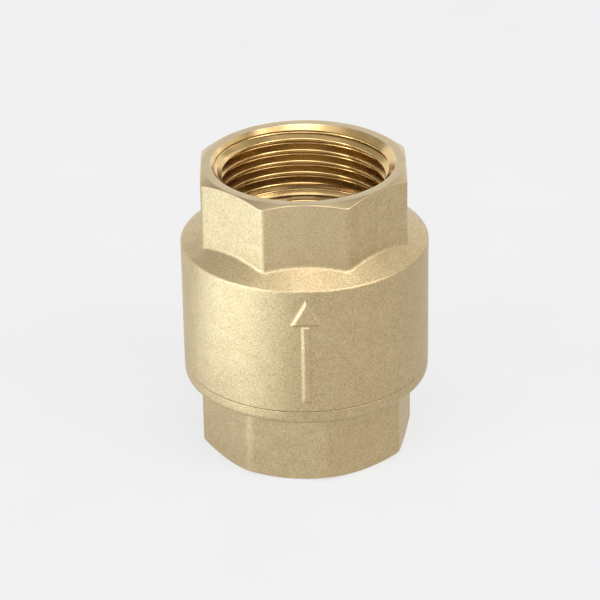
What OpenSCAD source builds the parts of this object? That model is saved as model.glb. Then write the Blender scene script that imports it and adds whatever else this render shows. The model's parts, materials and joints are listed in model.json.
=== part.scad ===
// Spring-loaded in-line check valve with G 1 female threads at both ends.
// Flow runs upwards, from the inlet at the base to the outlet at the top.
// Millimetres, +Z up, origin at the centre of the inlet end face.

/* [Outside] */
// Height from the inlet face to the outlet face
total_h = 57; // [56.5:0.5:60]
// Distance across the flats of the two octagonal ends
across_flats = 38; // [37.6:0.1:39]
// Rounding of the outlet octagon's upright edges
outlet_corner_r = 1.7; // [1:0.1:2.5]
// Rounding of the inlet octagon's upright edges
inlet_corner_r = 2.8; // [1:0.1:3]
// Diameter of the round body
body_d = 46.5; // [46.3:0.1:48]
// Turn of the inlet octagon against the outlet octagon, set by how far it screws in
inlet_turn = -10.5; // [-22:0.5:22]
// Height of the inlet octagon's flats
inlet_flats_h = 14; // [13.8:0.1:14.2]
// Height of the seam where the body meets the end piece's flange
seam_z = 16.9; // [16.8:0.1:17]
// Rounding of the flange's lower edge
flange_edge_r = 2.3; // [1:0.1:2.3]
// Height of the shoulder at the middle of an outlet flat
shoulder_z = 44.6; // [44.4:0.1:45]
// Slope of the shoulder, rise over run
shoulder_slope = 0.7; // [0.6:0.01:0.75]

/* [Pipe threads] */
// Pitch of the pipe thread, 11 turns to the inch
pipe_pitch = 2.309; // [2.3:0.001:2.32]
// Radius at the root of the pipe thread
pipe_root_r = 16.624; // [16.6:0.002:16.66]
// Radius at the crest of the outlet thread
outlet_crest_r = 15.15; // [15.146:0.002:15.2]
// Radius at the crest of the inlet thread
inlet_crest_r = 15.4; // [15.36:0.01:15.46]
// Crests in each socket
pipe_crests = 5; // [4, 5]
// Radius of the countersink at each mouth
mouth_r = 17.2; // [16.8:0.1:17.4]
// Depth of each socket to its floor
socket_depth = 14.4; // [13.6:0.1:14.4]

/* [Seat and poppet] */
// Radius of the inlet throat, which is the valve's bore
throat_r = 13; // [12:0.1:13]
// Height of the seat that the rubber closes on
seat_z = 25; // [25:0.1:25.5]
// Lift of the poppet from closed to fully open
lift = 6.5; // [5:0.1:6.5]
// Radius of the poppet's disc
disc_r = 15.6; // [15.4:0.1:15.7]
// Radius of the poppet's stem
stem_r = 2.9; // [2.5:0.05:3]
// Radial clearance of the stem in its guide
stem_gap = 0.08; // [0.05:0.01:0.1]

/* [Spring] */
// Thickness of the spring wire
wire_d = 0.6; // [0.5:0.05:0.7]
// Mean diameter of the coils
coil_d = 10.4; // [10.4:0.1:10.6]
// Number of turns, with one closed turn at each end
turns = 6.5; // [5.5:0.5:6.5]

/* [Hidden] */
$fn = 96;

brass = "#cdb689";
steel = "#b9bcc0";
white_plastic = "#e8e4d8";
black_rubber = "#26262a";

apothem = across_flats / 2;
body_r = body_d / 2;
over = 1;

// Joint between body and end piece: a fine 60 degree thread, an O-ring above it.
// The end piece bears on the ledge, which leaves a thin gap at the seam.
flange_r = body_r - 0.05;
seam_gap = 0.1;
seam_chamfer = 0.12;
joint_root_r = 20.2;
joint_crest_r = 20.9;
joint_pitch = 1.25;
joint_turns = 3;
joint_gap = 0.07;
joint_first_z = seam_z + 1.15;
joint_mouth_r = 21.1;
pilot_r = 19.95;
pilot_bore_r = 20;
pilot_z = seat_z - 3.7;
ledge_z = seat_z - 1;
o_ring_root_r = 18.2;
o_ring_z = seat_z - 2.5;
o_ring_groove_h = 1.8;
chamber_r = 19.2;
chamber_top_z = 36.5;

// Outlet side: the guide sits in a counterbore under the ceiling of the chamber.
socket_floor_z = total_h - socket_depth;
relief_r = 16.9;
outlet_throat_r = 13.6;
ceiling_z = 41;
guide_bore_r = 16.3;
guide_rim_r = 16.25;
guide_z = 39;
guide_top_z = 41.4;
spring_top_z = 40.2;
hub_r = 4.5;
hub_top_z = 43;

// Poppet: disc above the seal, stem up through the guide.
seal_t = 2;
disc_z = seat_z + seal_t;
disc_t = 2;
disc_skirt_w = 0.8;
spring_foot_z = disc_z + disc_t;
boss_top_z = spring_foot_z + 0.5;
hub_bottom_z = boss_top_z + lift + 0.05;
stem_top_z = 42.8;
spigot_r = 5;
screw_bore_r = 1.75;
washer_r = 10.5;
washer_t = 0.8;

function reversed(list) = [for (k = [len(list) - 1:-1:0]) list[k]];

// Points of an arc about [cx, cy], from angle a0 to a1.
function arc(cx, cy, r, a0, a1, steps = 8) =
    [for (i = [0:steps]) let (a = a0 + (a1 - a0) * i / steps) [cx + r * cos(a), cy + r * sin(a)]];

// One pipe socket as [radius, depth] pairs, from outside the mouth to the relief groove.
// The crests are rings at the true pitch, and the first one meets the countersink.
function socket_points(crest_r) =
    let (first = mouth_r - outlet_crest_r,
         land = pipe_pitch / 12,
         flank = (pipe_root_r - crest_r) * tan(27.5),
         last = first + (pipe_crests - 1) * pipe_pitch)
    concat(
        [[0, -over], [mouth_r + over, -over], [crest_r, mouth_r - crest_r]],
        [for (k = [0:pipe_crests - 2]) each let (h = first + k * pipe_pitch, h2 = h + pipe_pitch) [
            [crest_r, h + land],
            [pipe_root_r, h + land + flank],
            [pipe_root_r, h2 - land - flank],
            [crest_r, h2 - land]
        ]],
        [[crest_r, last + land], [relief_r, last + land + 0.6], [relief_r, socket_depth - 0.8]],
        arc(relief_r - 0.8, socket_depth - 0.8, 0.8, 0, 90, 4)
    );

// Ridges of the joint thread as [radius, height] pairs, rising. A gap widens the shape all round.
function joint_points(root_r, crest_r, gap) =
    let (half_tip = 0.12 + gap, flank = (crest_r - root_r) * tan(30))
    [for (k = [0:joint_turns - 1]) each let (z = joint_first_z + k * joint_pitch) [
        [root_r, z - half_tip - flank],
        [crest_r, z - half_tip],
        [crest_r, z + half_tip],
        [root_r, z + half_tip + flank]
    ]];

// Outline of an octagonal end: flats face along -Y and every 45 degrees from there.
module octagon(corner_r) {
    rounding_a = apothem - corner_r;
    intersection_r = rounding_a / cos(22.5);
    for (k = [0:3])
        rotate(k * 45)
            square([2 * apothem, 2 * rounding_a * tan(22.5)], center = true);
    circle(r = intersection_r, $fn = 8);
    for (k = [0:7])
        rotate(22.5 + k * 45)
            translate([intersection_r, 0])
                circle(r = corner_r);
}

// An octagonal end from height 0 to h, with a turned 30 degree chamfer at its outer rim.
module octagonal_end(h, corner_r) {
    chamfer = 2.4;
    intersection() {
        linear_extrude(h)
            octagon(corner_r);
        rotate_extrude()
            polygon([
                [0, 0], [apothem - 0.15, 0], [apothem - 0.15 + chamfer, chamfer * tan(30)],
                [apothem + chamfer, h + over], [0, h + over]
            ]);
    }
}

// Raised arrow that shows the direction of flow, standing out of the round body.
module flow_arrow() {
    length = 21;
    head_l = 5.2;
    head_w = 5.8;
    shaft_w = 1.7;
    proud = 0.35;
    intersection() {
        rotate([90, 0, 0])
            linear_extrude(body_d)
                polygon([
                    [-shaft_w / 2, 0], [shaft_w / 2, 0], [shaft_w / 2, length - head_l],
                    [head_w / 2, length - head_l], [0, length],
                    [-head_w / 2, length - head_l], [-shaft_w / 2, length - head_l]
                ]);
        cylinder(r = body_r + proud, h = length);
    }
}

module body_outside() {
    edge_r = 0.7;
    edge_z = shoulder_z - shoulder_slope * (body_r - edge_r - apothem)
             - edge_r * sqrt(1 + shoulder_slope * shoulder_slope);
    rotate_extrude()
        polygon(concat(
            [[0, seam_z], [body_r - seam_chamfer, seam_z], [body_r, seam_z + seam_chamfer]],
            arc(body_r - edge_r, edge_z, edge_r, 0, 90 - atan(shoulder_slope)),
            [[apothem - 1, shoulder_z + shoulder_slope], [0, shoulder_z + shoulder_slope]]
        ));
    translate([0, 0, total_h])
        mirror([0, 0, 1])
            octagonal_end(total_h - shoulder_z + 4, outlet_corner_r);
    for (side = [0, 180])
        rotate(side)
            translate([0, 0, seam_z + 2])
                flow_arrow();
}

module body() {
    color(brass)
        difference() {
            body_outside();
            rotate_extrude()
                polygon(concat(
                    [for (p = socket_points(outlet_crest_r)) [p[0], total_h - p[1]]],
                    [
                        [outlet_throat_r + 0.3, socket_floor_z],
                        [outlet_throat_r, socket_floor_z - 0.3],
                        [outlet_throat_r, ceiling_z],
                        [guide_bore_r, ceiling_z],
                        [guide_bore_r, guide_z - 0.2],
                        [chamber_r, chamber_top_z],
                        [chamber_r, ledge_z],
                        [pilot_bore_r, ledge_z],
                        [pilot_bore_r, pilot_z],
                        [joint_root_r + 0.1, pilot_z - 0.1]
                    ],
                    reversed(joint_points(joint_root_r + 0.1, joint_crest_r + joint_gap, joint_gap)),
                    [
                        [joint_root_r + 0.1, seam_z + 0.5],
                        [joint_mouth_r, seam_z + 0.2],
                        [joint_mouth_r, seam_z - over],
                        [0, seam_z - over]
                    ]
                ));
        }
}

module end_piece() {
    seat_w = 1.4;
    flange_top_z = seam_z - seam_gap;
    color(brass)
        difference() {
            union() {
                rotate(inlet_turn)
                    octagonal_end(inlet_flats_h, inlet_corner_r);
                rotate_extrude()
                    polygon(concat(
                        [[0, inlet_flats_h - 1], [apothem - 0.5, inlet_flats_h - 1],
                            [apothem - 0.5, inlet_flats_h]],
                        arc(flange_r - flange_edge_r, inlet_flats_h + flange_edge_r,
                            flange_edge_r, -90, 0),
                        [
                            [flange_r, flange_top_z - seam_chamfer],
                            [flange_r - seam_chamfer, flange_top_z],
                            [joint_root_r, flange_top_z]
                        ],
                        joint_points(joint_root_r, joint_crest_r, 0),
                        [
                            [joint_root_r, pilot_z - 0.15], [pilot_r, pilot_z],
                            [pilot_r, o_ring_z - o_ring_groove_h / 2],
                            [o_ring_root_r, o_ring_z - o_ring_groove_h / 2],
                            [o_ring_root_r, o_ring_z + o_ring_groove_h / 2],
                            [pilot_r, o_ring_z + o_ring_groove_h / 2],
                            [pilot_r, ledge_z], [throat_r + seat_w + 1, ledge_z],
                            [throat_r + seat_w, seat_z], [0, seat_z]
                        ]
                    ));
            }
            rotate_extrude()
                polygon(concat(
                    socket_points(inlet_crest_r),
                    [
                        [throat_r + 0.3, socket_depth],
                        [throat_r, socket_depth + 0.3],
                        [throat_r, seat_z + over],
                        [0, seat_z + over]
                    ]
                ));
        }
}

module joint_o_ring() {
    section_r = 0.88;
    color(black_rubber)
        translate([0, 0, o_ring_z])
            rotate_extrude()
                translate([(o_ring_root_r + pilot_bore_r) / 2, 0])
                    circle(r = section_r, $fn = 48);
}

// Three-armed plastic guide: the spring holds its rim up against the body's ceiling.
module guide() {
    rim_w = 2.6;
    arm_w = 2.4;
    collar_w = 6.6;
    pocket_r = 6.1;
    bore_r = stem_r + stem_gap;
    color(white_plastic)
        difference() {
            union() {
                rotate_extrude()
                    polygon([
                        [guide_rim_r - rim_w, guide_z], [guide_rim_r - 0.3, guide_z],
                        [guide_rim_r, guide_z + 0.3], [guide_rim_r, ceiling_z],
                        [guide_rim_r - rim_w, ceiling_z]
                    ]);
                for (k = [0:2])
                    rotate(90 + 60 + k * 120)
                        translate([pocket_r, -arm_w / 2, guide_z])
                            cube([guide_rim_r - rim_w / 2 - pocket_r, arm_w, ceiling_z - guide_z]);
                translate([0, 0, spring_top_z])
                    cylinder(r = collar_w, h = guide_top_z - spring_top_z);
                translate([0, 0, hub_bottom_z])
                    cylinder(r = hub_r, h = hub_top_z - hub_bottom_z);
            }
            translate([0, 0, hub_bottom_z - over])
                cylinder(r = bore_r, h = hub_top_z - hub_bottom_z + 2 * over);
        }
}

// Centre line of the spring: closed turns at the ends, an even rise between them.
function coil_height(turn) =
    let (foot = spring_foot_z + wire_d / 2 + 0.02,
         top = spring_top_z - wire_d / 2 - 0.02,
         rise = top - foot - 2 * wire_d)
    turn < 1 ? foot + turn * wire_d
    : turn > turns - 1 ? top - (turns - turn) * wire_d
    : foot + wire_d + rise * (turn - 1) / (turns - 2);

module spring() {
    sides = 8;
    steps = 24;
    last = floor(turns * steps);
    points = [for (i = [0:last], j = [0:sides - 1])
        let (a = 360 * i / steps, b = 360 * j / sides, r = coil_d / 2 + wire_d / 2 * cos(b))
        [r * cos(a), r * sin(a), coil_height(i / steps) + wire_d / 2 * sin(b)]];
    walls = [for (i = [0:last - 1], j = [0:sides - 1]) let (k = (j + 1) % sides)
        [i * sides + j, i * sides + k, (i + 1) * sides + k, (i + 1) * sides + j]];
    ends = [[for (j = [0:sides - 1]) sides - 1 - j], [for (j = [0:sides - 1]) last * sides + j]];
    color(steel)
        polyhedron(points, concat(walls, ends), convexity = 10);
}

module poppet() {
    skirt_h = 0.8;
    rib_w = 1.4;
    color(white_plastic)
        difference() {
            union() {
                rotate_extrude()
                    polygon([
                        [0, seat_z + 0.05], [spigot_r, seat_z + 0.05], [spigot_r, disc_z],
                        [disc_r - disc_skirt_w, disc_z],
                        [disc_r - disc_skirt_w, disc_z - skirt_h],
                        [disc_r, disc_z - skirt_h], [disc_r, spring_foot_z - 0.6],
                        [disc_r - 0.6, spring_foot_z], [hub_r, spring_foot_z],
                        [hub_r, boss_top_z], [stem_r, boss_top_z],
                        [stem_r, stem_top_z - 0.8], [stem_r - 0.8, stem_top_z], [0, stem_top_z]
                    ]);
                for (k = [0:5])
                    rotate(k * 60)
                        translate([coil_d / 2 + 1.3, -rib_w / 2, spring_foot_z - 0.1])
                            cube([disc_r - coil_d / 2 - 2.4, rib_w, 0.9]);
            }
            translate([0, 0, seat_z - over])
                cylinder(r = screw_bore_r, h = 9);
        }
}

module seat_seal() {
    color(black_rubber)
        rotate_extrude()
            polygon([
                [spigot_r + 0.05, seat_z], [disc_r - disc_skirt_w - 0.1, seat_z],
                [disc_r - disc_skirt_w - 0.1, disc_z], [spigot_r + 0.05, disc_z]
            ]);
}

module seal_washer() {
    color(steel)
        rotate_extrude()
            polygon([
                [2.1, seat_z - washer_t], [washer_r - 0.3, seat_z - washer_t],
                [washer_r, seat_z - washer_t + 0.3], [washer_r, seat_z], [2.1, seat_z]
            ]);
}

// Pan-head screw with a cross recess, driven up into the poppet.
module seal_screw() {
    head_r = 3.6;
    head_h = 2.2;
    recess_w = 1;
    head_z = seat_z - washer_t - head_h;
    color(steel)
        difference() {
            union() {
                rotate_extrude()
                    polygon(concat(
                        [[0, head_z]],
                        arc(head_r - 1.2, head_z + 1.2, 1.2, -90, 0, 5),
                        [[head_r, head_z + head_h], [0, head_z + head_h]]
                    ));
                translate([0, 0, head_z + head_h])
                    cylinder(r = screw_bore_r - 0.02, h = 8);
            }
            for (turn = [0, 90])
                rotate(turn)
                    translate([-2, -recess_w / 2, head_z - over])
                        cube([4, recess_w, over + 1.3]);
        }
}

body();
end_piece();
joint_o_ring();
guide();
spring();
poppet();
seat_seal();
seal_washer();
seal_screw();
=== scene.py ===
"""Looks of the check valve: forged brass, cut threads, plastic guide and poppet, on a pale floor."""

import json
import math

import bpy
import numpy as np
from mathutils import Matrix, Vector


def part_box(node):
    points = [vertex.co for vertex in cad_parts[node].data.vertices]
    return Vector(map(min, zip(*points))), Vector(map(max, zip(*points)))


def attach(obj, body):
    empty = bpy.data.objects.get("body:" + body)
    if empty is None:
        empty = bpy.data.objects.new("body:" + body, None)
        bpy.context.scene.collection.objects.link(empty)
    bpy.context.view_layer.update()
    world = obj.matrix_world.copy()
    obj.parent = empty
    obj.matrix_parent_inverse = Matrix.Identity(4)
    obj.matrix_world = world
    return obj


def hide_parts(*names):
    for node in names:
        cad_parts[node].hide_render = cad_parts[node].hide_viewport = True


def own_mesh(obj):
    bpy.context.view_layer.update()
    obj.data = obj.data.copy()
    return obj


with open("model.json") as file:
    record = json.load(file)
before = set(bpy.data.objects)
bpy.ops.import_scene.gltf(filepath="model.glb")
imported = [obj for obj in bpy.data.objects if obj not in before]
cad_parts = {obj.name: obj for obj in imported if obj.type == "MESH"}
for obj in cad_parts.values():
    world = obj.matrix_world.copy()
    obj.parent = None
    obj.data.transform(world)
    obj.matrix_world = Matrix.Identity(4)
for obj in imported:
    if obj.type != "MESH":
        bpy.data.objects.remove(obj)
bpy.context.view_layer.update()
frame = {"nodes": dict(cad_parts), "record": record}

MM = 0.001

# Driving sizes in millimetres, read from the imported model.
mounts = {m["name"]: m for m in frame["record"]["mounts"]}
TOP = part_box("body")[1].z / MM
BODY_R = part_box("body")[1].x / MM
OUTLET_CREST = mounts["outlet_thread"]["dims"]["r_mm"]
INLET_CREST = mounts["inlet_thread"]["dims"]["r_mm"]
APOTHEM = -mounts["outlet_spanner_flat"]["pos_m"][1] / MM
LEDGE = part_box("end_piece")[1].z / MM - 1
SEAT = LEDGE + 1

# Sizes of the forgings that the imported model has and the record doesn't name.
OUTLET_CORNER_R = 1.7
INLET_CORNER_R = 2.8
INLET_TURN = math.radians(-10.5)
CHAMFER = math.tan(math.radians(30))       # rise of the octagons' corner chamfer for each step out
RIM_R = APOTHEM - 0.15                     # where the chamfer starts on the end faces
SHOULDER_Z = 44.6
SHOULDER_SLOPE = 0.7
FLATS_H = 14.0
SEAM_Z = 16.9
FLANGE_R = BODY_R - 0.05
FLANGE_TOP = SEAM_Z - 0.1
FLANGE_EDGE = 2.3
FRONT = -math.pi / 2

# The sockets and their pipe threads.
PITCH = 2.309
ROOT_R = 16.624
MOUTH_R = 17.2
SOCKET = 14.4
RELIEF_R = 16.9
RELIEF_H = 2.15
RELIEF_START = 1.5
RELIEF_BEVEL = 0.9
RELIEF_RUNOUT = 2.4                        # how steeply the groove closes towards the thread
THREAD_FLANK = math.tan(math.radians(27.5))
THREAD_SOFT = 0.3                          # rounding of crests and roots
OUTLET_THREAD_DROP = 0.38                  # brings the outlet's helix to the height that the real one shows
OUTLET_THROAT_R = 13.6
INLET_THROAT_R = 13.0

# The joint between the halves, the chamber above it and the seat below.
BODY_BORE_R = 20.3
BODY_BORE_ROOT_R = 20.97
SPIGOT_R = 20.2
SPIGOT_CREST_R = 20.9
JOINT_CLEARANCE = 0.07
JOINT_PITCH = 1.25
JOINT_TIP = 0.24
JOINT_START = 1.15
LANDING_R = 20.0
NOSE_R = 19.95
O_RING_GROOVE_R = 18.2
CHAMBER_R = 19.2
CHAMBER_TOP = 36.5
GUIDE_POCKET_R = 16.3
GUIDE_POCKET_Z = 38.8
CEILING = 41.0
SEAT_OUTER_R = 14.4
SEAT_FOOT_R = 15.4

# The raised arrow.
ARROW_L = 21.0
ARROW_HEAD_L = 5.2
ARROW_HEAD_HALF = 2.9
ARROW_SHAFT_HALF = 0.85
ARROW_BASE = SEAM_Z + 2
ARROW_PROUD = 0.35
ARROW_ROWS = 108

# The spring.
WIRE_R = 0.3
COILS = 6.5
COIL_STEPS = 60                            # stations to a turn
WIRE_SIDES = 14

# Fineness of the meshes.
ARC_STEP = math.radians(11)                # largest turn between two stations on a rounded corner
SHARP = math.radians(16)                   # edges with a larger turn shade as sharp


# ---------------------------------------------------------------- columns and stations

def columns(turn, arrows=()):
    """Angles of the mesh's columns, closer together at the octagon's corners and at the arrows."""
    corners = [FRONT + turn + math.radians(22.5 + 45 * k) for k in range(8)]
    zones = [(c, math.radians(4), math.radians(0.4)) for c in corners]
    zones += [(a, math.radians(8), math.radians(0.3)) for a in arrows]
    coarse = math.radians(1.0)
    angles, a = [], 0.0
    while a < 2 * math.pi - 0.4 * coarse:
        angles.append(a)
        near = [step for c, half, step in zones
                if abs((a - c + math.pi) % (2 * math.pi) - math.pi) < half]
        a += min(near or [coarse])
    return np.array(angles)


def octagon_radius(theta, turn, corner_r):
    """Distance from the axis to the octagon's outline, with rounded corners."""
    step = math.pi / 4
    t = (theta - FRONT - turn + step / 2) % step - step / 2
    inner = APOTHEM - corner_r
    centre = inner / math.cos(step / 2)
    off = step / 2 - np.abs(t)
    arc = centre * np.cos(off) + np.sqrt(np.maximum(corner_r ** 2 - (centre * np.sin(off)) ** 2, 0))
    straight = np.abs(t) < math.atan2(inner * math.tan(step / 2), APOTHEM)
    return np.where(straight, APOTHEM / np.cos(t), arc)


def stations(corners, count):
    """Rounds a section's corners and returns its stations as (radius, height, material), with radius and
    height given for every column.
    A corner is (radius, height, rounding, material)."""
    def spread(value):
        return np.broadcast_to(np.asarray(value, float), count)

    full = [(spread(corner[0]), spread(corner[1])) for corner in corners]
    out = []
    for k, corner in enumerate(corners):
        rounding, slot = corner[2], corner[3]
        here = np.stack(full[k])
        if rounding == 0 or k in (0, len(corners) - 1):
            out.append((here[0], here[1], slot))
            continue
        before = np.stack(full[k - 1]) - here
        after = np.stack(full[k + 1]) - here
        len_b, len_a = np.hypot(*before), np.hypot(*after)
        before, after = before / len_b, after / len_a
        half = np.arccos(np.clip((before * after).sum(0), -1, 1)) / 2
        reach = np.minimum(rounding / np.tan(half), 0.48 * np.minimum(len_b, len_a))
        radius = reach * np.tan(half)
        middle = before + after
        middle /= np.hypot(*middle)
        centre = here + middle * radius / np.sin(half)
        start, end = here + before * reach - centre, here + after * reach - centre
        opening = math.pi - 2 * half
        steps = math.ceil(opening.max() / ARC_STEP)
        for i in range(steps + 1):
            s = i / steps
            arc = (start * np.sin((1 - s) * opening) + end * np.sin(s * opening)) / np.sin(opening)
            out.append((centre[0] + arc[0], centre[1] + arc[1], slot))
    return out


# ---------------------------------------------------------------- meshes

class Shell:
    """Collects vertices and faces of one closed mesh."""

    def __init__(self, theta):
        self.theta, self.count = theta, len(theta)
        self.verts, self.faces, self.slots = [], [], []

    def ring(self, radius, height, theta=None):
        """Adds vertices, one on each column unless theta places them, and returns their indices."""
        theta = self.theta if theta is None else theta
        first = sum(len(v) for v in self.verts)
        radius, height = np.broadcast_to(radius, theta.shape), np.broadcast_to(height, theta.shape)
        self.verts.append(np.stack([radius * np.cos(theta), radius * np.sin(theta), height], -1) * MM)
        return np.arange(first, first + len(theta))

    def band(self, low, high, slot):
        """Quads between two rings of indices."""
        for i in range(len(low)):
            j = (i + 1) % len(low)
            self.face((low[i], low[j], high[j], high[i]), slot)

    def face(self, corners, slot):
        """One face, with repeated corners dropped."""
        kept = []
        for c in corners:
            if c not in kept:
                kept.append(c)
        if len(kept) > 2:
            self.faces.append(kept)
            self.slots.append(slot)

    def loft(self, rows, first=None):
        """Joins a list of stations into bands, on from the ring first, and returns the last ring."""
        last = first
        for radius, height, slot in rows:
            ring = self.ring(radius, height)
            if last is not None:
                self.band(last, ring, slot)
            last = ring
        return last

    def make(self, name, materials):
        """Turns the collected faces into an object whose smooth shading stops at sharp edges."""
        mesh = bpy.data.meshes.new(name)
        faces = [[int(c) for c in face] for face in self.faces]
        mesh.from_pydata(np.concatenate(self.verts).tolist(), [], faces)
        for m in materials:
            mesh.materials.append(m)
        mesh.polygons.foreach_set("material_index", self.slots)
        mesh.polygons.foreach_set("use_smooth", [True] * len(mesh.polygons))
        mesh.update()
        obj = bpy.data.objects.new(name, mesh)
        bpy.context.scene.collection.objects.link(obj)
        bpy.context.view_layer.objects.active = obj
        obj.select_set(True)
        bpy.ops.object.mode_set(mode="EDIT")
        bpy.ops.mesh.select_all(action="SELECT")
        bpy.ops.mesh.normals_make_consistent(inside=False)
        bpy.ops.object.mode_set(mode="OBJECT")
        obj.select_set(False)
        mesh.set_sharp_from_angle(angle=SHARP)
        even = obj.modifiers.new("normals", "WEIGHTED_NORMAL")
        even.weight = 80
        even.keep_sharp = True
        return obj


def thread_profile(crest_r):
    """One pitch of the thread, from root to root over its crest, as (offsets, radii)."""
    flank = (ROOT_R - crest_r) * THREAD_FLANK
    land = (PITCH / 2 - flank) / 2
    corners = [(ROOT_R, -PITCH + land, 0, 0), (ROOT_R, -land - flank, THREAD_SOFT, 0),
               (crest_r, -land, THREAD_SOFT, 0), (crest_r, land, THREAD_SOFT, 0),
               (ROOT_R, land + flank, THREAD_SOFT, 0), (ROOT_R, PITCH - land, 0, 0)]
    rows = stations(corners, 1)[1:-1]
    return np.array([float(h[0]) for r, h, s in rows]), np.array([float(r[0]) for r, h, s in rows])


def meet(r, z, envelope):
    """Moves the nearer row of each column to where the thread and its envelope cross, for a clean edge."""
    gap = r - envelope(z)
    for i in range(z.shape[1]):
        for j in np.nonzero(gap[:-1, i] * gap[1:, i] < 0)[0]:
            s = gap[j, i] / (gap[j, i] - gap[j + 1, i])
            crossing = z[j, i] + s * (z[j + 1, i] - z[j, i])
            near = j if s < 0.5 else j + 1
            z[near, i], r[near, i] = crossing, envelope(crossing)


def thread_block(shell, low_z, high_z, crest_r, crest_z, envelope, slot):
    """A right-handed thread in the bore between two level rings, which it returns. Its rows follow the helix,
    and envelope gives the radius at each height that countersink and relief groove have already cleared."""
    offsets, radii = thread_profile(crest_r)
    rows_per_turn = len(offsets)
    rise = PITCH * shell.theta / (2 * math.pi)
    first = math.floor((low_z - PITCH - crest_z) / PITCH) - 1
    last = math.ceil((high_z - crest_z) / PITCH) + 1
    base = np.concatenate([crest_z + k * PITCH + offsets for k in range(first, last)])
    z = base[:, None] + rise[None, :]
    r = np.repeat(np.tile(radii, last - first)[:, None], shell.count, axis=1)
    meet(r, z, envelope)
    r = np.maximum(r, envelope(z))
    low = shell.ring(envelope(np.full(shell.count, low_z)), low_z)
    high = shell.ring(envelope(np.full(shell.count, high_z)), high_z)
    hair = 0.02                                        # rows this close to an end join it
    below, above = z <= low_z + hair, z >= high_z - hair
    free = ~(below | above)
    index = np.zeros(z.shape, int)
    index[below] = np.broadcast_to(low, z.shape)[below]
    index[above] = np.broadcast_to(high, z.shape)[above]
    index[free] = shell.ring(r[free], z[free], np.broadcast_to(shell.theta, z.shape)[free])
    for j in range(len(base) - 1):
        for i in range(shell.count - 1):
            shell.face((index[j, i], index[j, i + 1], index[j + 1, i + 1], index[j + 1, i]), slot)
        k = j + rows_per_turn                          # the row that this one runs into after a whole turn
        if k + 1 < len(base):
            shell.face((index[j, -1], index[k, 0], index[k + 1, 0], index[j + 1, -1]), slot)
    return low, high


# ---------------------------------------------------------------- materials

def material(name):
    """A new material with its node list, its link list and its main shader."""
    mat = bpy.data.materials.new(name)
    mat.use_nodes = True
    return mat, mat.node_tree.nodes, mat.node_tree.links, mat.node_tree.nodes["Principled BSDF"]


def noise(nodes, links, vector, scale, detail=3.0, rough=0.5):
    """A noise texture; scale is in patches to the metre."""
    n = nodes.new("ShaderNodeTexNoise")
    n.inputs["Scale"].default_value = scale
    n.inputs["Detail"].default_value = detail
    n.inputs["Roughness"].default_value = rough
    links.new(vector, n.inputs["Vector"])
    return n.outputs["Fac"]


def ramp(nodes, links, value, stops):
    """Turns a value into a colour, by stops of (place, colour)."""
    n = nodes.new("ShaderNodeValToRGB")
    n.color_ramp.elements[0].position, n.color_ramp.elements[0].color = stops[0][0], (*stops[0][1], 1)
    n.color_ramp.elements[1].position, n.color_ramp.elements[1].color = stops[-1][0], (*stops[-1][1], 1)
    for place, colour in stops[1:-1]:
        n.color_ramp.elements.new(place).color = (*colour, 1)
    links.new(value, n.inputs["Fac"])
    return n.outputs["Color"]


def span(nodes, links, value, low, high):
    """Maps a texture from 0..1 to low..high."""
    n = nodes.new("ShaderNodeMapRange")
    n.inputs["To Min"].default_value = low
    n.inputs["To Max"].default_value = high
    links.new(value, n.inputs["Value"])
    return n.outputs["Result"]


def bump(nodes, links, height, strength, distance, normal=None):
    """Surface relief from a texture, on top of another relief when normal is given."""
    n = nodes.new("ShaderNodeBump")
    n.inputs["Strength"].default_value = strength
    n.inputs["Distance"].default_value = distance
    links.new(height, n.inputs["Height"])
    if normal is not None:
        links.new(normal, n.inputs["Normal"])
    return n.outputs["Normal"]


def cast_brass():
    """Forged brass, blasted: matt, with a grain of under half a millimetre."""
    mat, nodes, links, shader = material("cast_brass")
    where = nodes.new("ShaderNodeTexCoord").outputs["Object"]
    shader.inputs["Metallic"].default_value = 1.0
    patches = ramp(nodes, links, noise(nodes, links, where, 320, 6, 0.72),
                   [(0.3, (0.475, 0.362, 0.200)), (0.52, (0.51, 0.394, 0.221)),
                    (0.72, (0.54, 0.422, 0.243))])
    grain = noise(nodes, links, where, 3000, 2, 0.55)
    shade = ramp(nodes, links, grain,
                 [(0.32, (0.81, 0.80, 0.78)), (0.5, (1, 1, 1)), (0.68, (1.13, 1.14, 1.16))])
    mix = nodes.new("ShaderNodeMix")
    mix.data_type, mix.blend_type = "RGBA", "MULTIPLY"
    mix.inputs[0].default_value = 1.0
    links.new(patches, mix.inputs[6])
    links.new(shade, mix.inputs[7])
    links.new(mix.outputs[2], shader.inputs["Base Color"])
    links.new(span(nodes, links, noise(nodes, links, where, 700, 3), 0.43, 0.52), shader.inputs["Roughness"])
    broad = bump(nodes, links, noise(nodes, links, where, 500, 2), 0.2, 0.00012)
    fine = bump(nodes, links, grain, 0.6, 0.00008, broad)
    links.new(fine, shader.inputs["Normal"])
    return mat


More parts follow.
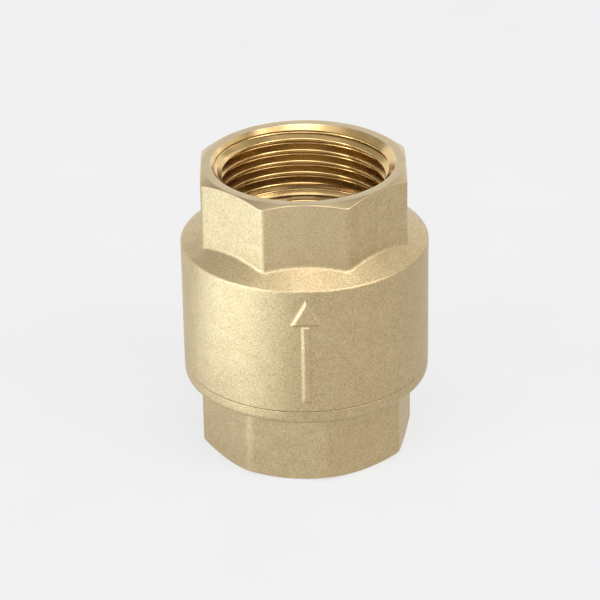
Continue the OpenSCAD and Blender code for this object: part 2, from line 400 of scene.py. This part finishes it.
def turned_brass(name, dark, light, smooth, coarse):
    """Machined brass with fine turning marks round the axis."""
    mat, nodes, links, shader = material(name)
    where = nodes.new("ShaderNodeTexCoord").outputs["Object"]
    split = nodes.new("ShaderNodeSeparateXYZ")
    links.new(where, split.inputs[0])
    flat = nodes.new("ShaderNodeCombineXYZ")
    links.new(split.outputs["X"], flat.inputs["X"])
    links.new(split.outputs["Y"], flat.inputs["Y"])
    length = nodes.new("ShaderNodeVectorMath")
    length.operation = "LENGTH"
    links.new(flat.outputs[0], length.inputs[0])
    turned = nodes.new("ShaderNodeCombineXYZ")
    links.new(length.outputs["Value"], turned.inputs["X"])
    links.new(split.outputs["Z"], turned.inputs["Y"])
    marks = noise(nodes, links, turned.outputs[0], 9000, 3, 0.7)
    shader.inputs["Metallic"].default_value = 1.0
    tone = noise(nodes, links, where, 350, 3)
    links.new(ramp(nodes, links, tone, [(0.3, dark), (0.7, light)]), shader.inputs["Base Color"])
    links.new(span(nodes, links, marks, smooth, coarse), shader.inputs["Roughness"])
    links.new(bump(nodes, links, marks, 0.22, 0.00003), shader.inputs["Normal"])
    return mat


def plastic():
    """Moulded acetal, off-white and satin."""
    mat, nodes, links, shader = material("acetal")
    where = nodes.new("ShaderNodeTexCoord").outputs["Object"]
    tone = noise(nodes, links, where, 260, 3)
    links.new(ramp(nodes, links, tone, [(0.3, (0.74, 0.72, 0.66)), (0.7, (0.82, 0.81, 0.76))]),
              shader.inputs["Base Color"])
    links.new(span(nodes, links, noise(nodes, links, where, 1500), 0.30, 0.42), shader.inputs["Roughness"])
    shader.inputs["Subsurface Weight"].default_value = 0.15
    shader.inputs["Subsurface Radius"].default_value = (0.002, 0.002, 0.0015)
    links.new(bump(nodes, links, noise(nodes, links, where, 3200, 2), 0.2, 0.00003), shader.inputs["Normal"])
    return mat


def rubber():
    """Moulded black nitrile rubber, matt."""
    mat, nodes, links, shader = material("nitrile_rubber")
    where = nodes.new("ShaderNodeTexCoord").outputs["Object"]
    tone = noise(nodes, links, where, 800, 3)
    links.new(ramp(nodes, links, tone, [(0.3, (0.018, 0.018, 0.019)), (0.7, (0.035, 0.035, 0.037))]),
              shader.inputs["Base Color"])
    links.new(span(nodes, links, noise(nodes, links, where, 2500), 0.55, 0.75), shader.inputs["Roughness"])
    links.new(bump(nodes, links, noise(nodes, links, where, 4200, 3), 0.3, 0.00004), shader.inputs["Normal"])
    return mat


def stainless():
    """Drawn or stamped stainless steel."""
    mat, nodes, links, shader = material("stainless")
    where = nodes.new("ShaderNodeTexCoord").outputs["Object"]
    shader.inputs["Metallic"].default_value = 1.0
    tone = noise(nodes, links, where, 700, 4)
    links.new(ramp(nodes, links, tone, [(0.3, (0.50, 0.49, 0.47)), (0.7, (0.66, 0.65, 0.63))]),
              shader.inputs["Base Color"])
    links.new(span(nodes, links, noise(nodes, links, where, 3000, 4), 0.18, 0.36), shader.inputs["Roughness"])
    links.new(bump(nodes, links, noise(nodes, links, where, 5200, 3), 0.2, 0.00002), shader.inputs["Normal"])
    return mat


CAST, CUT, THREAD, FACED = 0, 1, 2, 3
BRASS = [cast_brass(),
         turned_brass("cut_brass", (0.54, 0.44, 0.29), (0.60, 0.495, 0.335), 0.16, 0.28),
         turned_brass("thread_brass", (0.58, 0.39, 0.16), (0.64, 0.44, 0.19), 0.14, 0.26),
         turned_brass("faced_brass", (0.50, 0.385, 0.22), (0.55, 0.425, 0.25), 0.30, 0.42)]
ACETAL, RUBBER, STEEL = plastic(), rubber(), stainless()


# ---------------------------------------------------------------- the two halves of the housing

def countersink(z_face, sign):
    """Radius cleared by the 90 degree countersink at each height; sign is +1 where the mouth looks up."""
    return lambda z: MOUTH_R - sign * (z_face - z)


def relief(z_floor, sign):
    """Radius cleared by the relief groove beyond the thread."""
    def radius(z):
        past = sign * (z - z_floor) - RELIEF_H          # how far a point lies beyond the groove's end
        return np.where(past < 0, RELIEF_R, RELIEF_R - past * RELIEF_RUNOUT)
    return radius


def arrow_height(x, z):
    """Height of the raised flow arrow over the round body, from its outline's signed distance."""
    v = z - ARROW_BASE
    neck = ARROW_L - ARROW_HEAD_L
    shaft = np.maximum(np.abs(x) - ARROW_SHAFT_HALF, np.maximum(-v, v - neck))
    slope = math.atan2(ARROW_HEAD_HALF, ARROW_HEAD_L)
    side = (np.abs(x) - (ARROW_L - v) * math.tan(slope)) * math.cos(slope)
    inside = -np.minimum(shaft, np.maximum(side, neck - v))
    s = np.clip((inside + 0.2) / 0.75, 0, 1)           # soft sides, which start a little outside the outline
    return ARROW_PROUD * s * s * (3 - 2 * s)


def joint_thread(root_r, crest_r, gap):
    """Stations of the fine thread that joins the two halves, rising."""
    rows = []
    half_tip, flank = JOINT_TIP / 2 + gap, (crest_r - root_r) * math.tan(math.radians(30))
    for k in range(3):
        z = SEAM_Z + JOINT_START + JOINT_PITCH * k
        rows += [(root_r, z - half_tip - flank, 0, CUT), (crest_r, z - half_tip, 0, CUT),
                 (crest_r, z + half_tip, 0, CUT), (root_r, z + half_tip + flank, 0, CUT)]
    return rows


def cleared(mouth, groove):
    """Radius that the countersink and the relief groove together clear at each height."""
    return lambda z: np.maximum(mouth(z), groove(z))


def octagonal_face(octagon, z_face, sign):
    """Corners of an end face, from its mouth out to the octagon; sign is +1 where the face looks up."""
    return [(MOUTH_R - 0.1, z_face - sign * 0.1, 0, CUT),
            (MOUTH_R, z_face, 0.08, CUT),
            (RIM_R, z_face, 0.15, FACED),
            (octagon, z_face - sign * (octagon - RIM_R) * CHAMFER, 0.25, FACED)]


def socket_floor(z_floor, sign):
    """Corners from the socket's floor over its bevel into the relief groove; sign is +1 in the outlet."""
    return [(RELIEF_R - RELIEF_BEVEL, z_floor, 0.3, CUT),
            (RELIEF_R, z_floor + sign * RELIEF_BEVEL, 0.3, THREAD),
            (RELIEF_R, z_floor + sign * (RELIEF_START + 0.4), 0, THREAD)]


def keep_piece(shell, name, node):
    """Makes the mesh, puts it in the place of a CAD node and gives it to the housing."""
    piece = shell.make(name, BRASS)
    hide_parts(node)
    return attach(piece, "housing")


def shoulder_z(r):
    """Height of the sloping shoulder at a distance from the axis."""
    return SHOULDER_Z - SHOULDER_SLOPE * (r - APOTHEM)


def make_body():
    """The outlet half: octagon, shoulder, round wall with an arrow on each side, and everything inside."""
    theta = columns(0, arrows=(FRONT, FRONT + math.pi))
    shell = Shell(theta)
    n = shell.count
    octagon = octagon_radius(theta, 0, OUTLET_CORNER_R)
    floor_z = TOP - SOCKET
    wall_top, wall_foot = 40.9, SEAM_Z + 0.4
    crest_z = TOP - (MOUTH_R - OUTLET_CREST) - PITCH - PITCH / 4 - OUTLET_THREAD_DROP
    low, high = thread_block(shell, floor_z + RELIEF_START, TOP - 0.1, OUTLET_CREST, crest_z,
                             cleared(countersink(TOP, 1), relief(floor_z, 1)), THREAD)
    outside = stations([
        *octagonal_face(octagon, TOP, 1),
        (octagon, shoulder_z(octagon), 1.0, CAST),
        (BODY_R, shoulder_z(BODY_R), 0.8, CAST),
        (BODY_R, wall_top, 0, CAST),
    ], n)
    ring = shell.loft(outside[1:], high)
    across = BODY_R * np.cos(theta)
    near_arrow = np.abs(across) < 2 * ARROW_HEAD_HALF
    for k in range(1, ARROW_ROWS + 1):
        z = wall_top + (wall_foot - wall_top) * k / ARROW_ROWS
        raised = np.where(near_arrow, arrow_height(across, z), 0)
        ring = shell.loft([(BODY_R + raised, np.full(n, z), CAST)], ring)
    inside = stations([
        (BODY_R, wall_foot, 0, CAST),
        (BODY_R, SEAM_Z, 0.1, CAST),
        (BODY_BORE_R + 0.8, SEAM_Z, 0.1, CUT),
        (BODY_BORE_R + 0.8, SEAM_Z + 0.2, 0, CUT),
        (BODY_BORE_R, SEAM_Z + 0.5, 0, CUT),
        *joint_thread(BODY_BORE_R, BODY_BORE_ROOT_R, JOINT_CLEARANCE),
        (BODY_BORE_R, LEDGE - 2.8, 0, CUT),
        (LANDING_R, LEDGE - 2.7, 0, CUT),
        (LANDING_R, LEDGE, 0, CUT),
        (CHAMBER_R, LEDGE, 0, CUT),
        (CHAMBER_R, CHAMBER_TOP, 0.8, CUT),
        (GUIDE_POCKET_R, GUIDE_POCKET_Z, 0.3, CUT),
        (GUIDE_POCKET_R, CEILING, 0, CUT),
        (OUTLET_THROAT_R, CEILING, 0.2, CUT),
        (OUTLET_THROAT_R, floor_z, 0.25, THREAD),
        *socket_floor(floor_z, 1),
    ], n)
    last = shell.loft(inside[1:-1], ring)
    shell.band(last, low, CUT)
    return keep_piece(shell, "body_forging", "body")


def make_end_piece():
    """The inlet half: octagon, flange, joint thread, O-ring groove, seat and throat."""
    theta = columns(INLET_TURN)
    shell = Shell(theta)
    n = shell.count
    octagon = octagon_radius(theta, INLET_TURN, INLET_CORNER_R)
    crest_z = MOUTH_R - INLET_CREST + PITCH / 2
    low, high = thread_block(shell, 0.1, SOCKET - RELIEF_START, INLET_CREST, crest_z,
                             cleared(countersink(0, -1), relief(SOCKET, -1)), THREAD)
    outside = stations([
        *octagonal_face(octagon, 0, -1),
        (octagon, FLATS_H, 0.5, CAST),
        (FLANGE_R, FLATS_H, FLANGE_EDGE, CAST),
        (FLANGE_R, FLANGE_TOP, 0.1, CAST),
        (SPIGOT_R, FLANGE_TOP, 0.1, CUT),
        *joint_thread(SPIGOT_R, SPIGOT_CREST_R, 0),
        (SPIGOT_R, LEDGE - 2.85, 0, CUT),
        (NOSE_R, LEDGE - 2.7, 0, CUT),
        (NOSE_R, LEDGE - 2.4, 0.1, CUT),
        (O_RING_GROOVE_R, LEDGE - 2.4, 0.2, CUT),
        (O_RING_GROOVE_R, LEDGE - 0.6, 0.2, CUT),
        (NOSE_R, LEDGE - 0.6, 0.1, CUT),
        (NOSE_R, LEDGE, 0.2, CUT),
        (SEAT_FOOT_R, LEDGE, 0.2, CUT),
        (SEAT_OUTER_R, SEAT, 0.15, CUT),
        (INLET_THROAT_R, SEAT, 0.2, CUT),
        (INLET_THROAT_R, SOCKET, 0.3, CUT),
        *socket_floor(SOCKET, -1),
    ], n)
    last = shell.loft(outside[1:-1], low)
    shell.band(last, high, CUT)
    return keep_piece(shell, "end_piece_forging", "end_piece")


# ---------------------------------------------------------------- the pieces inside

def make_spring():
    """The closing spring, a coil of round wire with a closed turn at each end."""
    low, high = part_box("spring")[0].z / MM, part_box("spring")[1].z / MM
    coil_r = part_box("spring")[1].x / MM - WIRE_R
    count = int(COILS * COIL_STEPS) + 1
    turn = np.linspace(0, COILS, count)
    foot, top = low + WIRE_R, high - WIRE_R
    z = np.interp(turn, [0, 1, COILS - 1, COILS], [foot, foot + 2 * WIRE_R, top - 2 * WIRE_R, top])
    blur = np.ones(13) / 13                            # rounds the bends where the closed turns end
    z[6:-6] = np.convolve(z, blur, mode="valid")
    angle = 2 * math.pi * turn
    centre = np.stack([coil_r * np.cos(angle), coil_r * np.sin(angle), z], -1)
    along = np.gradient(centre, axis=0)
    along /= np.linalg.norm(along, axis=1)[:, None]
    out = np.stack([np.cos(angle), np.sin(angle), 0 * angle], -1)
    up = np.cross(along, out)
    spin = (2 * math.pi * np.arange(WIRE_SIDES) / WIRE_SIDES)[None, :, None]
    tube = centre[:, None] + WIRE_R * (np.cos(spin) * out[:, None] + np.sin(spin) * up[:, None])
    faces = []
    for first in range(0, (count - 1) * WIRE_SIDES, WIRE_SIDES):
        for k in range(WIRE_SIDES):
            a, b = first + k, first + (k + 1) % WIRE_SIDES
            faces.append((a, b, b + WIRE_SIDES, a + WIRE_SIDES))
    faces.append(tuple(range(WIRE_SIDES))[::-1])
    faces.append(tuple(range((count - 1) * WIRE_SIDES, count * WIRE_SIDES)))
    mesh = bpy.data.meshes.new("closing_spring")
    mesh.from_pydata((tube.reshape(-1, 3) * MM).tolist(), [], faces)
    mesh.materials.append(STEEL)
    mesh.polygons.foreach_set("use_smooth", [len(f) == 4 for f in faces])
    mesh.update()
    piece = bpy.data.objects.new("closing_spring", mesh)
    bpy.context.scene.collection.objects.link(piece)
    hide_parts("spring")
    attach(piece, "housing")
    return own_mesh(piece)


def finish_inner_pieces():
    """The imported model's own pieces stay as they are and get their materials."""
    finish = {"joint_o_ring": RUBBER, "guide": ACETAL, "poppet": ACETAL, "seat_seal": RUBBER,
              "seal_washer": STEEL, "seal_screw": STEEL}
    for node, look in finish.items():
        shown = frame["nodes"][node]
        shown.data.materials.clear()
        shown.data.materials.append(look)


# ---------------------------------------------------------------- floor, light and camera

PALE = 0.88                                # brightness of the backdrop behind the valve
ROOM = 0.50                                # brightness of the room around it
FLOOR_SHADE = 0.155                        # what the lights add to the floor's own glow
LIGHT_DISTANCE = 1.2


def make_floor():
    """A pale sweep that mostly glows by itself, so the valve leaves only a faint contact shadow."""
    mat, nodes, links, shader = material("pale_floor")
    grain = noise(nodes, links, nodes.new("ShaderNodeTexCoord").outputs["Object"], 30, 2)
    links.new(ramp(nodes, links, grain, [(0.3, (0.10, 0.10, 0.10)), (0.7, (0.11, 0.11, 0.11))]),
              shader.inputs["Base Color"])
    shader.inputs["Roughness"].default_value = 1.0
    shader.inputs["Specular IOR Level"].default_value = 0.0
    shader.inputs["Emission Color"].default_value = (1, 1, 1, 1)
    shader.inputs["Emission Strength"].default_value = PALE - FLOOR_SHADE
    bpy.ops.mesh.primitive_circle_add(vertices=96, radius=4.0, fill_type="NGON", location=(0, 0, -0.00002))
    floor = bpy.context.object
    floor.name = "floor"
    floor.data.materials.append(mat)


def make_world():
    """The room is dimmer than the backdrop that the camera sees."""
    world = bpy.data.worlds.new("studio")
    bpy.context.scene.world = world
    world.use_nodes = True
    nodes, links = world.node_tree.nodes, world.node_tree.links
    sky = nodes["Background"]
    seen = nodes.new("ShaderNodeLightPath").outputs["Is Camera Ray"]
    links.new(span(nodes, links, seen, ROOM, PALE), sky.inputs["Strength"])
    sky.inputs["Color"].default_value = (1, 1, 1, 1)


def panel(name, place, facing, wide, high, brightness, colour):
    """An evenly bright rectangle, in metres, that shines along facing and that the camera doesn't see."""
    data = bpy.data.lights.new(name, "AREA")
    data.shape, data.size, data.size_y, data.color = "RECTANGLE", wide, high, colour
    data.energy = math.pi * wide * high * brightness
    light = bpy.data.objects.new(name, data)
    light.location = place
    light.rotation_euler = (-facing).to_track_quat("Z", "Y").to_euler()
    light.visible_camera = False
    bpy.context.scene.collection.objects.link(light)


def softbox(name, azimuth, elevation, wide, high, brightness, colour=(1, 1, 1)):
    """A panel aimed at the valve's middle, given by how wide and high it looks from there, in degrees.
    Azimuth 0 is the front, and it grows to the right."""
    a, e = math.radians(azimuth), math.radians(elevation)
    way = Vector((math.sin(a) * math.cos(e), -math.cos(a) * math.cos(e), math.sin(e)))
    width, height = (2 * LIGHT_DISTANCE * math.tan(math.radians(size / 2)) for size in (wide, high))
    middle = Vector((0, 0, TOP * MM / 2))
    panel(name, middle + way * LIGHT_DISTANCE, -way, width, height, brightness, colour)


def card(name, x, y, wide, deep, brightness, colour):
    """A panel that lies just over the floor and shines up, in metres."""
    panel(name, Vector((x, y, 0.001)), Vector((0, 0, 1)), wide, deep, brightness, colour)


def make_lights():
    """Cool light from the left, a softer box on the right, and wide boxes in front, above and behind."""
    card("bounce_left", -0.185, -0.10, 0.26, 0.22, 1.9, (0.66, 0.82, 1.0))
    card("bounce_front", -0.06, -0.055, 0.08, 0.07, 0.5, (0.86, 0.93, 1.0))
    softbox("key_left", -66, 2, 34, 16, 7, (0.60, 0.78, 1.0))
    softbox("front_left", -42, 6, 30, 26, 5.0, (0.74, 0.87, 1.0))
    softbox("strip_left", -60, 27, 10, 26, 9, (0.9, 0.95, 1.0))
    softbox("side_left", -95, 15, 26, 40, 1.5, (0.82, 0.90, 1.0))
    softbox("right_high", 60, 45, 21, 20, 6.5)
    softbox("right_low", 50, 25, 50, 20, 2.5)
    softbox("front_wide", 0, 56, 90, 44, 0.9, (0.92, 0.94, 1.0))
    softbox("front_high", 0, 58, 28, 48, 2.0, (0.92, 0.94, 1.0))
    softbox("overhead", 12, 78, 24, 12, 2.1, (0.92, 0.95, 1.0))
    softbox("overhead_back", 180, 74, 34, 10, 0.9, (0.92, 0.95, 1.0))
    softbox("back_right", 120, 35, 30, 30, 0.6)
    softbox("back_wall", 180, 12, 120, 45, 0.9, (0.9, 0.95, 1.0))


def make_camera():
    """A long lens in front of the valve and above it, with a slight roll."""
    elevation, roll, distance = math.radians(27.26), math.radians(0.995), 0.5686
    aim = Vector((-1.04, 0, 28.17)) * MM
    back = Vector((0, -math.cos(elevation), math.sin(elevation)))
    up = Vector((0, math.sin(elevation), math.cos(elevation)))
    right = Vector((1, 0, 0))
    tilt_right = right * math.cos(roll) - up * math.sin(roll)
    tilt_up = up * math.cos(roll) + right * math.sin(roll)
    data = bpy.data.cameras.new("camera")
    data.lens, data.sensor_width = 180.1, 36
    camera = bpy.data.objects.new("camera", data)
    place = aim + back * distance
    camera.matrix_world = Matrix((
        (tilt_right.x, tilt_up.x, back.x, place.x),
        (tilt_right.y, tilt_up.y, back.y, place.y),
        (tilt_right.z, tilt_up.z, back.z, place.z),
        (0, 0, 0, 1)))
    bpy.context.scene.collection.objects.link(camera)
    bpy.context.scene.camera = camera


make_body()
make_end_piece()
make_spring()
finish_inner_pieces()
make_floor()
make_world()
make_lights()
make_camera()
bpy.context.scene.view_settings.view_transform = "Standard"
